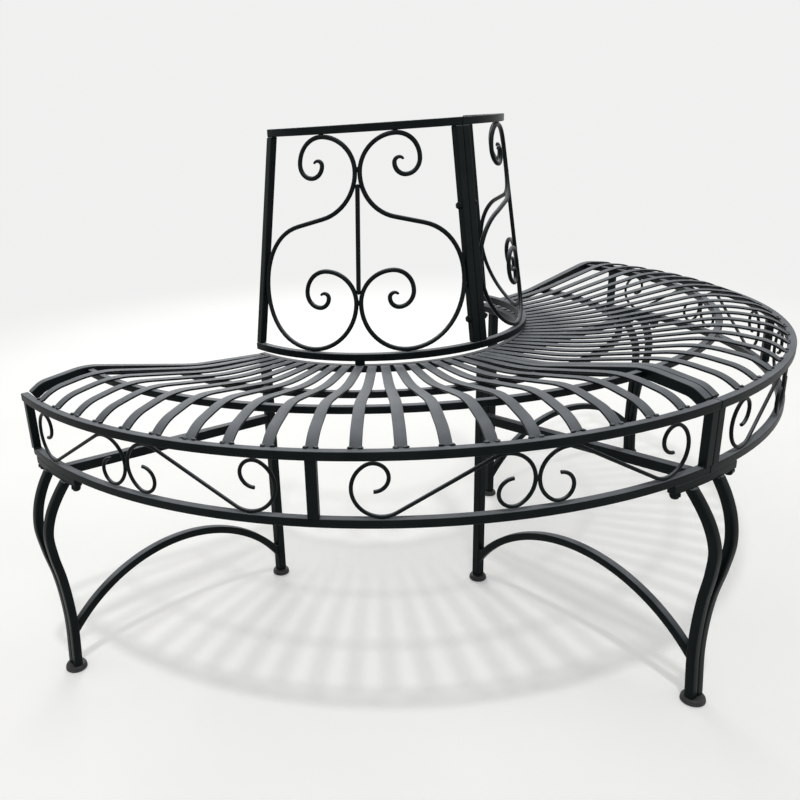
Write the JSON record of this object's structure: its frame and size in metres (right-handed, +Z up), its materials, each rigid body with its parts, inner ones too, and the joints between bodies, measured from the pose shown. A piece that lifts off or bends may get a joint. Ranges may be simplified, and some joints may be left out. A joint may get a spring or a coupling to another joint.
{
  "type": "tree bench",
  "caption": "Half-round metal seat round a tree trunk, with radial slats, scrolled apron, flared scroll back and splayed legs.",
  "frame": {"origin": "on the ground, in the middle of the outline seen from above; the axis of the tree is straight behind it by half of the depth", "axes": "+X to the right of someone facing the bench, +Y towards the tree and the open side, +Z up"},
  "size_m": [1.4226, 0.714, 0.787],
  "materials": {
    "black_steel": "satin powder coat",
    "black_fasteners": "satin black",
    "foot_rubber": "matte"
  },
  "bodies": {
    "root": {"back_joint_bolts": "black_fasteners", "back_spacers": "black_steel", "bracket_knobs": "black_fasteners", "front_arch_brace": "black_steel", "front_bracket": "black_steel", "front_inner_leg": "black_steel", "front_outer_leg_a": "black_steel", "front_outer_leg_b": "black_steel", "front_stretcher": "black_steel", "inner_foot_caps": "foot_rubber", "left_apron_posts": "black_steel", "left_apron_scrolls": "black_steel", "left_arch_brace": "black_steel", "left_back_bottom_rail": "black_steel", "left_back_centre_bar": "black_steel", "left_back_end_post": "black_steel", "left_back_joint_post": "black_steel", "left_back_scroll_inner": "black_steel", "left_back_scroll_outer": "black_steel", "left_back_top_rail": "black_steel", "left_bracket": "black_steel", "left_inner_leg": "black_steel", "left_outer_leg_a": "black_steel", "left_outer_leg_b": "black_steel", "left_seat_end_bar": "black_steel", "left_seat_inner_rim": "black_steel", "left_seat_inner_support": "black_steel", "left_seat_joint_bar": "black_steel", "left_seat_lower_ring": "black_steel", "left_seat_outer_support": "black_steel", "left_seat_slats": "black_steel", "left_seat_upper_ring": "black_steel", "left_stretcher": "black_steel", "outer_foot_caps": "foot_rubber", "right_apron_posts": "black_steel", "right_apron_scrolls": "black_steel", "right_arch_brace": "black_steel", "right_back_bottom_rail": "black_steel", "right_back_centre_bar": "black_steel", "right_back_end_post": "black_steel", "right_back_joint_post": "black_steel", "right_back_scroll_inner": "black_steel", "right_back_scroll_outer": "black_steel", "right_back_top_rail": "black_steel", "right_bracket": "black_steel", "right_inner_leg": "black_steel", "right_outer_leg_a": "black_steel", "right_outer_leg_b": "black_steel", "right_seat_end_bar": "black_steel", "right_seat_inner_rim": "black_steel", "right_seat_inner_support": "black_steel", "right_seat_joint_bar": "black_steel", "right_seat_lower_ring": "black_steel", "right_seat_outer_support": "black_steel", "right_seat_slats": "black_steel", "right_seat_upper_ring": "black_steel", "right_stretcher": "black_steel", "seat_stub_bolt": "black_fasteners", "seat_stub_post": "black_steel"}
  },
  "joints": []
}
